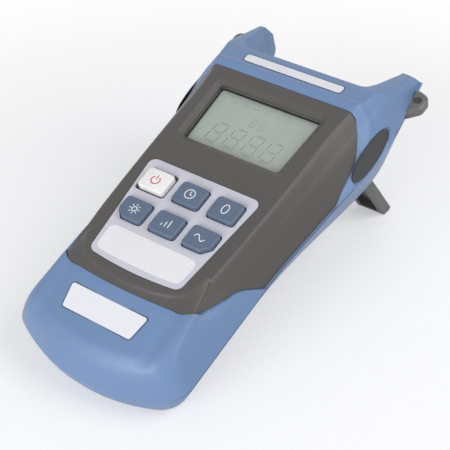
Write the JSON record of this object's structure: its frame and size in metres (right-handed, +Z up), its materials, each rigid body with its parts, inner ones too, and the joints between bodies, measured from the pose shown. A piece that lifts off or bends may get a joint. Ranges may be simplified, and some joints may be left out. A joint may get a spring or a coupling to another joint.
{
  "type": "optical power meter",
  "caption": "Handheld optical power meter with display, rubber keys, horned head round a dust-capped port and strap lugs, propped on a fold-out stand.",
  "frame": {"origin": "centre of the box around the propped meter, on the surface it rests on", "axes": "+X to the right of the keys, +Y towards the optical port, +Z up; the meter leans back on its stand by about 18 degrees about X"},
  "size_m": [0.0918, 0.1692, 0.0717],
  "materials": {
    "cover_plastic": "fine satin grain",
    "cap_plastic": "fine satin grain",
    "stand_plastic": "satin",
    "key_rubber": "soft satin",
    "power_rubber": "soft satin",
    "mat_rubber": "matt",
    "cap_rubber": "matt",
    "overlay_film": "fine grained film",
    "plate_film": "printed film",
    "seal_film": "printed film",
    "window_clear": "clear",
    "lcd": "liquid crystal panel",
    "frame_white": "moulded",
    "connector_black": "moulded",
    "board_green": "solder mask",
    "chip_black": "moulded",
    "steel": "zinc plated",
    "nickel": "nickel plated",
    "cell_jacket": "foil jacket"
  },
  "bodies": {
    "case": {"front_cover": "cover_plastic", "top_cap": "cap_plastic", "bottom_cap": "cap_plastic", "rear_case": "cap_plastic", "strap_lug_left": "stand_plastic", "strap_lug_right": "stand_plastic", "case_screws": "steel", "display_window": "window_clear", "display_panel": "lcd", "display_frame": "frame_white", "display_connector": "connector_black", "keypad_overlay": "overlay_film", "keypad_mat": "mat_rubber", "main_board": "board_green", "board_chips": "chip_black", "board_screws": "steel", "light_sensor": "nickel", "cell_left": "cell_jacket", "cell_middle": "cell_jacket", "cell_right": "cell_jacket", "contact_plates": "nickel", "contact_springs": "nickel", "optical_adapter": "nickel", "adapter_screws": "steel", "top_plate": "plate_film", "bottom_plate": "plate_film", "seal_left": "seal_film", "seal_right": "seal_film"},
    "stand": {"stand": "stand_plastic", "stand_pins": "steel"},
    "battery_door": {"battery_door": "cap_plastic"},
    "dust_cap": {"dust_cap": "cap_rubber"},
    "power_key": {"power_key": "power_rubber"},
    "key_timer": {"key_timer": "key_rubber"},
    "key_zero": {"key_zero": "key_rubber"},
    "key_light": {"key_light": "key_rubber"},
    "key_level": {"key_level": "key_rubber"},
    "key_wave": {"key_wave": "key_rubber"}
  },
  "joints": [
    {"name": "stand_hinge", "type": "hinge", "parent": "case", "child": "stand", "pos_m": [0, 0.04927, 0.03407], "axis": [1, 0, 0], "range_deg": [-114, 0]},
    {"name": "battery_door_hinge", "type": "hinge", "parent": "case", "child": "battery_door", "pos_m": [0, -0.06577, 0.00293], "axis": [-1, 0, 0], "range_deg": [0, 40]},
    {"name": "dust_cap_slide", "type": "slide", "parent": "case", "child": "dust_cap", "axis": [0, 0.9519, 0.3064], "range_m": [0, 0.009]},
    {"name": "power_key_press", "type": "slide", "parent": "case", "child": "power_key", "axis": [0, 0.3064, -0.9519], "range_m": [0, 0.0009], "stiffness_N_per_m": 500, "springref_m": -0.0003},
    {"name": "key_timer_press", "type": "slide", "parent": "case", "child": "key_timer", "axis": [0, 0.3064, -0.9519], "range_m": [0, 0.0009], "stiffness_N_per_m": 500, "springref_m": -0.0003},
    {"name": "key_zero_press", "type": "slide", "parent": "case", "child": "key_zero", "axis": [0, 0.3064, -0.9519], "range_m": [0, 0.0009], "stiffness_N_per_m": 500, "springref_m": -0.0003},
    {"name": "key_light_press", "type": "slide", "parent": "case", "child": "key_light", "axis": [0, 0.3064, -0.9519], "range_m": [0, 0.0009], "stiffness_N_per_m": 500, "springref_m": -0.0003},
    {"name": "key_level_press", "type": "slide", "parent": "case", "child": "key_level", "axis": [0, 0.3064, -0.9519], "range_m": [0, 0.0009], "stiffness_N_per_m": 500, "springref_m": -0.0003},
    {"name": "key_wave_press", "type": "slide", "parent": "case", "child": "key_wave", "axis": [0, 0.3064, -0.9519], "range_m": [0, 0.0009], "stiffness_N_per_m": 500, "springref_m": -0.0003}
  ]
}
